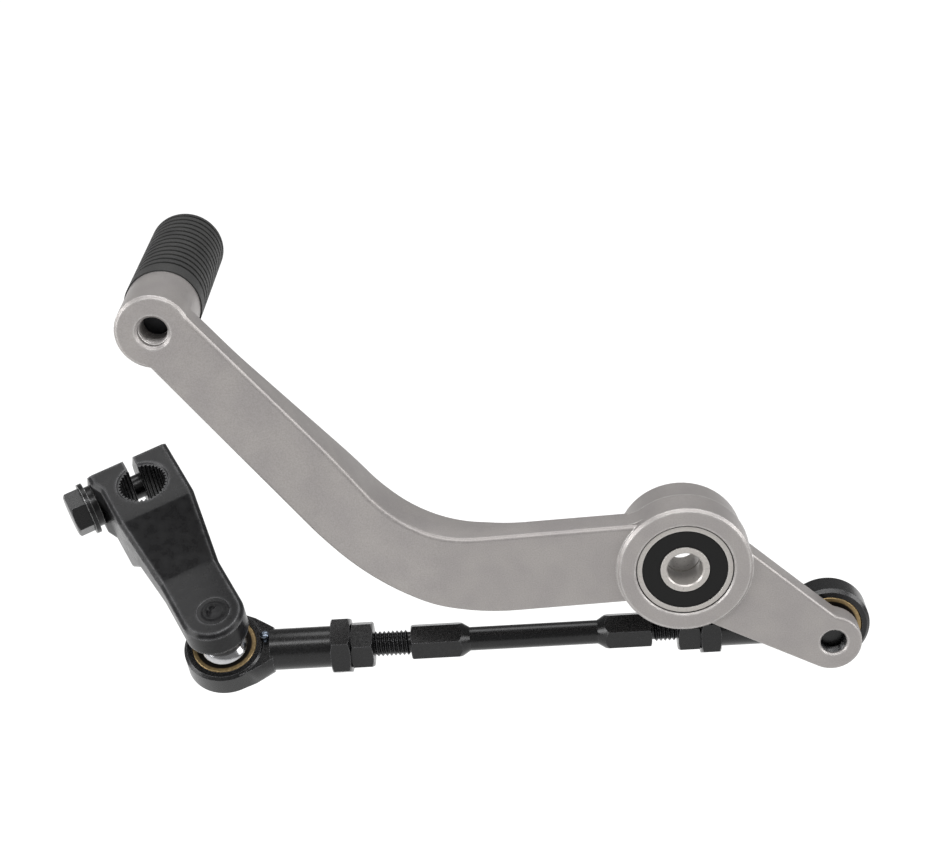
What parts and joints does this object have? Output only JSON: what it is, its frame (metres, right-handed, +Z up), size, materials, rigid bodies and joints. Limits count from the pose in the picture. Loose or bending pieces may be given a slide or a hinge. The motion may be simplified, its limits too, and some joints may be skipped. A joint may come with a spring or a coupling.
{
  "type": "motorcycle gear shift lever",
  "caption": "Cranked cast lever with a rubber toe peg and a bearing pivot, joined by an adjustable ball-jointed rod to a clamp-on shift arm.",
  "frame": {"origin": "centre of the pivot bore, on the pivot axis where the two hub bearings meet", "axes": "+X from the pivot to the tail eye's side, +Y along the pivot axis towards the toe peg, +Z up; the lever is held as pictured"},
  "size_m": [0.1927, 0.0638, 0.1009],
  "materials": {
    "cast_aluminium": "sand-blasted casting, matt with bright worn edges",
    "peg_steel": "zinc-plated steel",
    "toe_rubber": "ribbed black rubber",
    "bearing_steel": "ground bearing steel",
    "seal_rubber": "moulded black seal rubber",
    "ball_chrome": "hard chromed ball",
    "race_bronze": "turned bronze",
    "black_oxide_steel": "black oxide, lightly oiled",
    "black_forging": "semi-gloss black over a forged skin"
  },
  "bodies": {
    "pivot_core": {"front_inner_ring": "bearing_steel", "rear_inner_ring": "bearing_steel"},
    "lever": {"lever_casting": "cast_aluminium", "peg_pin": "peg_steel", "toe_rubber": "toe_rubber", "front_outer_ring": "bearing_steel", "rear_outer_ring": "bearing_steel", "front_bearing_seals": "seal_rubber", "rear_bearing_seals": "seal_rubber", "front_bearing_balls": "bearing_steel", "rear_bearing_balls": "bearing_steel", "front_bearing_cage": "bearing_steel", "rear_bearing_cage": "bearing_steel", "tail_bolt": "black_oxide_steel"},
    "rear_ball": {"rear_ball": "ball_chrome"},
    "rear_rod_end": {"rear_rod_end": "black_oxide_steel", "rear_race": "race_bronze", "rear_lock_nut": "black_oxide_steel", "rear_grease_plug": "bearing_steel", "link_rod": "black_oxide_steel"},
    "front_rod_end": {"front_rod_end": "black_oxide_steel", "front_race": "race_bronze", "front_lock_nut": "black_oxide_steel", "front_grease_plug": "bearing_steel"},
    "front_ball": {"front_ball": "ball_chrome"},
    "shift_arm": {"shift_arm": "black_forging", "arm_ball_bolt": "black_oxide_steel", "clamp_bolt": "black_oxide_steel", "clamp_washer": "black_oxide_steel", "clamp_spring_washer": "black_oxide_steel"}
  },
  "joints": [
    {"name": "lever_swing", "type": "hinge", "parent": "pivot_core", "child": "lever", "pos_m": [0, 0, 0], "axis": [0, 1, 0], "continuous": true},
    {"name": "rear_ball_swing", "type": "hinge", "parent": "lever", "child": "rear_ball", "pos_m": [0.0347, 0.0045, -0.0189], "axis": [0, 1, 0], "range_deg": [-285, 0]},
    {"name": "rear_ball_tilt", "type": "hinge", "parent": "rear_ball", "child": "rear_rod_end", "pos_m": [0.0347, 0.0045, -0.0189], "axis": [-0.0663, 0, 0.9978], "range_deg": [-6, 0]},
    {"name": "link_length", "type": "slide", "parent": "rear_rod_end", "child": "front_rod_end", "axis": [-0.9978, 0, -0.0663], "range_m": [-0.006, 0.006]},
    {"name": "front_ball_tilt", "type": "hinge", "parent": "front_rod_end", "child": "front_ball", "pos_m": [-0.10529, 0.0045, -0.0282], "axis": [0.0256, -0.9225, -0.3851], "range_deg": [-12, 3]},
    {"name": "front_ball_swing", "type": "hinge", "parent": "front_ball", "child": "shift_arm", "pos_m": [-0.10529, 0.0045, -0.0282], "axis": [-0.1081, -0.3855, 0.9164], "range_deg": [-60, 80]}
  ]
}
